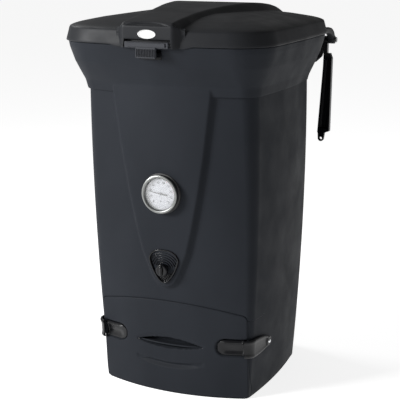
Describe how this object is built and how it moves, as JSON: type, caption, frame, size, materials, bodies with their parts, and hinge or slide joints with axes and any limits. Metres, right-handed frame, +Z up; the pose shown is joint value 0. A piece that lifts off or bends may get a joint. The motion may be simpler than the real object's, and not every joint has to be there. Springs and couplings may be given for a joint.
{
  "type": "insulated hot composter",
  "caption": "Free-standing insulated compost bin with a domed latched lid, dial thermometer, air valve and a strapped lift-off emptying hatch.",
  "frame": {"origin": "middle of the flat underside, in the bin's left-right symmetry plane, on the ground", "axes": "+Z up, +X to the right of someone facing the front, +Y to the back, so the hatch and gauge face -Y"},
  "size_m": [0.632, 0.721, 1.11],
  "materials": {
    "shell_plastic": "fine moulded grain, satin",
    "trim_plastic": "smooth black, slightly glossy",
    "liner_plastic": "smooth dark grey moulding",
    "insulation_foam": "moulded bead foam",
    "strap_rubber": "moulded black rubber",
    "seal_rubber": "soft black seal",
    "stainless_steel": "turned stainless steel",
    "gauge_glass": "clear flat lens",
    "gauge_dial": "white enamel dial with printed scale",
    "gauge_pointer": "black enamel",
    "badge_plate": "gloss white oval plate, blank"
  },
  "bodies": {
    "cabinet": {"outer_shell": "shell_plastic", "base_pan": "shell_plastic", "floor_foam": "insulation_foam", "front_foam": "insulation_foam", "rear_foam": "insulation_foam", "right_foam": "insulation_foam", "left_foam": "insulation_foam", "inner_liner": "liner_plastic", "hatch_frame": "liner_plastic", "rim_frame": "liner_plastic", "floor_grate": "liner_plastic", "drain_spigot": "trim_plastic", "drain_nut": "trim_plastic", "vent_sleeve": "trim_plastic", "vent_shield": "trim_plastic", "vent_grille": "liner_plastic", "thermometer_gasket": "seal_rubber", "thermometer_case": "stainless_steel", "thermometer_bezel": "stainless_steel", "thermometer_dial": "gauge_dial", "thermometer_lens": "gauge_glass", "thermometer_stem": "stainless_steel", "thermometer_nut": "stainless_steel", "strap_stud_right": "stainless_steel", "strap_stud_left": "stainless_steel", "latch_keeper": "trim_plastic", "hinge_bracket_right": "trim_plastic", "hinge_bracket_left": "trim_plastic", "hinge_pin_right": "stainless_steel", "hinge_pin_left": "stainless_steel", "hinge_clip_right": "stainless_steel", "hinge_clip_left": "stainless_steel"},
    "vent_knob": {"vent_knob": "trim_plastic", "vent_disc": "trim_plastic", "vent_screw": "stainless_steel"},
    "pointer": {"thermometer_pointer": "gauge_pointer"},
    "hatch": {"hatch_shell": "shell_plastic", "hatch_foam": "insulation_foam", "hatch_liner": "liner_plastic", "hatch_seal": "seal_rubber", "strap_pad_right": "strap_rubber", "strap_pad_left": "strap_rubber"},
    "right_strap": {"strap_right": "strap_rubber", "strap_rivet_right": "stainless_steel"},
    "left_strap": {"strap_left": "strap_rubber", "strap_rivet_left": "stainless_steel"},
    "lid": {"lid_shell": "shell_plastic", "lid_foam": "insulation_foam", "lid_liner": "liner_plastic", "lid_seal": "seal_rubber", "lid_badge": "badge_plate", "latch_pin": "stainless_steel"},
    "latch": {"lid_latch": "trim_plastic", "latch_spring": "stainless_steel"},
    "right_arm": {"stay_arm_right": "trim_plastic"},
    "left_arm": {"stay_arm_left": "trim_plastic"}
  },
  "joints": [
    {"name": "lid_hinge", "type": "hinge", "parent": "cabinet", "child": "lid", "pos_m": [0, 0.352, 0.988], "axis": [-1, 0, 0], "range_deg": [0, 105]},
    {"name": "lid_latch_tilt", "type": "hinge", "parent": "lid", "child": "latch", "pos_m": [0, -0.339, 1.021], "axis": [-1, 0, 0], "range_deg": [0, 25], "stiffness_Nm_per_rad": 0.6},
    {"name": "hatch_pull", "type": "slide", "parent": "cabinet", "child": "hatch", "axis": [0, -1, 0], "range_m": [0, 0.16]},
    {"name": "right_strap_swing", "type": "hinge", "parent": "hatch", "child": "right_strap", "pos_m": [0.2245, -0.19775, 0.158], "axis": [0, 0, -1], "range_deg": [0, 110]},
    {"name": "left_strap_swing", "type": "hinge", "parent": "hatch", "child": "left_strap", "pos_m": [-0.2245, -0.19775, 0.158], "axis": [0, 0, 1], "range_deg": [0, 110]},
    {"name": "vent_knob_turn", "type": "hinge", "parent": "cabinet", "child": "vent_knob", "pos_m": [0, -0.25, 0.384], "axis": [0, 1, 0], "range_deg": [0, 90]},
    {"name": "pointer_turn", "type": "hinge", "parent": "cabinet", "child": "pointer", "pos_m": [0, -0.276, 0.605], "axis": [0, 1, 0], "range_deg": [-60, 210], "stiffness_Nm_per_rad": 0.0005},
    {"name": "right_arm_swing", "type": "hinge", "parent": "cabinet", "child": "right_arm", "pos_m": [0.27, 0.352, 0.988], "axis": [1, 0, 0], "range_deg": [-3, 78]},
    {"name": "left_arm_swing", "type": "hinge", "parent": "cabinet", "child": "left_arm", "pos_m": [-0.27, 0.352, 0.988], "axis": [1, 0, 0], "range_deg": [-3, 78]}
  ]
}
